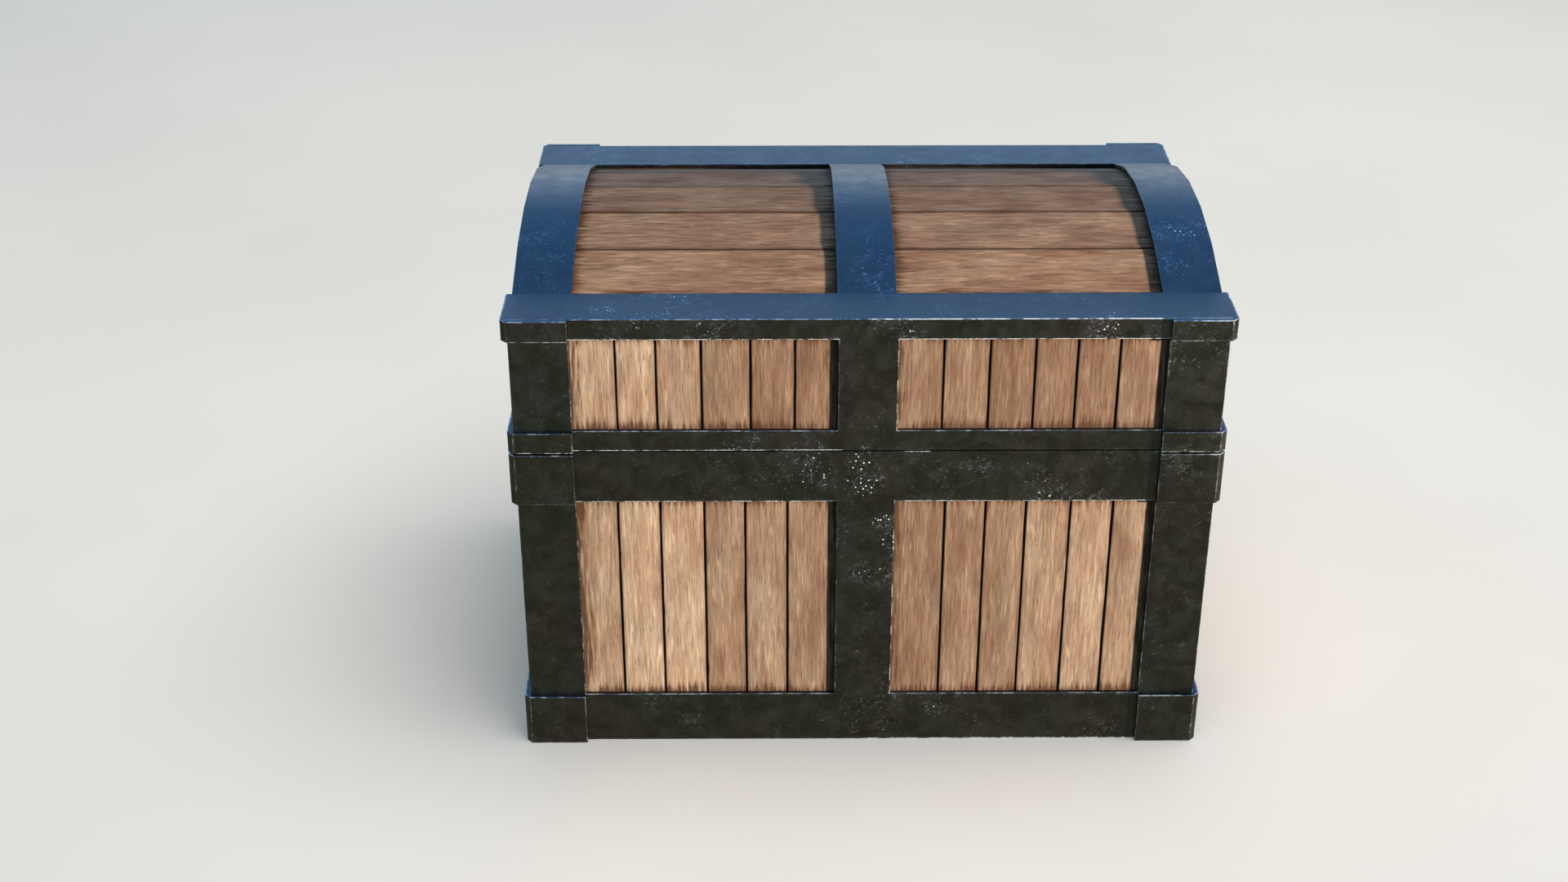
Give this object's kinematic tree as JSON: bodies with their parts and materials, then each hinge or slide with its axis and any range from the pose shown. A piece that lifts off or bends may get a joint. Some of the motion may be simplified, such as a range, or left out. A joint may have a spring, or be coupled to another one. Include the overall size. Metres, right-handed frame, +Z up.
{
  "type": "steamer trunk",
  "caption": "Iron-bound wooden trunk with a low staved dome lid hinged at the back, for storing and carrying goods.",
  "frame": {"origin": "centre of the base, on the floor that the trunk stands on", "axes": "+X to the trunk's right as seen from the front, +Y to the back where the hinges are, +Z up"},
  "size_m": [0.9, 0.6156, 0.6692],
  "materials": {
    "black_iron": "dark worn iron with a thin oil-black skin",
    "wall_oak": "bare planed boards, upright grain",
    "dome_oak": "bare staves, darker, grain along the trunk",
    "inner_timber": "sawn timber",
    "bright_steel": "dull steel"
  },
  "bodies": {
    "trunk_body": {"base_corner_caps": "black_iron", "base_rail_back": "black_iron", "base_rail_front": "black_iron", "base_rail_left": "black_iron", "base_rail_right": "black_iron", "body_back_boards": "wall_oak", "body_corner_blocks": "inner_timber", "body_front_boards": "wall_oak", "body_left_boards": "wall_oak", "body_post_back_left": "black_iron", "body_post_back_right": "black_iron", "body_post_front_left": "black_iron", "body_post_front_right": "black_iron", "body_right_boards": "wall_oak", "body_strap_back": "black_iron", "body_strap_front": "black_iron", "bottom_battens": "inner_timber", "bottom_boards": "inner_timber", "hinge_body_leaf_left": "black_iron", "hinge_body_leaf_right": "black_iron", "hinge_body_screws": "bright_steel", "hinge_pins": "bright_steel", "rim_corner_caps": "black_iron", "rim_rail_back": "black_iron", "rim_rail_front": "black_iron", "rim_rail_left": "black_iron", "rim_rail_right": "black_iron"},
    "trunk_lid": {"arch_band_centre": "black_iron", "arch_band_left": "black_iron", "arch_band_right": "black_iron", "cornice_back": "black_iron", "cornice_corner_caps": "black_iron", "cornice_front": "black_iron", "dome_end_boards": "inner_timber", "dome_staves": "dome_oak", "end_plate_left": "black_iron", "end_plate_right": "black_iron", "hinge_lid_leaf_left": "black_iron", "hinge_lid_leaf_right": "black_iron", "hinge_lid_screws": "bright_steel", "ledge_sills": "inner_timber", "lid_back_boards": "wall_oak", "lid_corner_blocks": "inner_timber", "lid_corner_caps": "black_iron", "lid_front_boards": "wall_oak", "lid_left_boards": "wall_oak", "lid_post_back_left": "black_iron", "lid_post_back_right": "black_iron", "lid_post_front_left": "black_iron", "lid_post_front_right": "black_iron", "lid_rail_back": "black_iron", "lid_rail_front": "black_iron", "lid_rail_left": "black_iron", "lid_rail_right": "black_iron", "lid_right_boards": "wall_oak", "lid_strap_back": "black_iron", "lid_strap_front": "black_iron"}
  },
  "joints": [
    {"name": "lid_hinge", "type": "hinge", "parent": "trunk_body", "child": "trunk_lid", "pos_m": [0, 0.303, 0.444], "axis": [-1, 0, 0], "range_deg": [0, 100]}
  ]
}
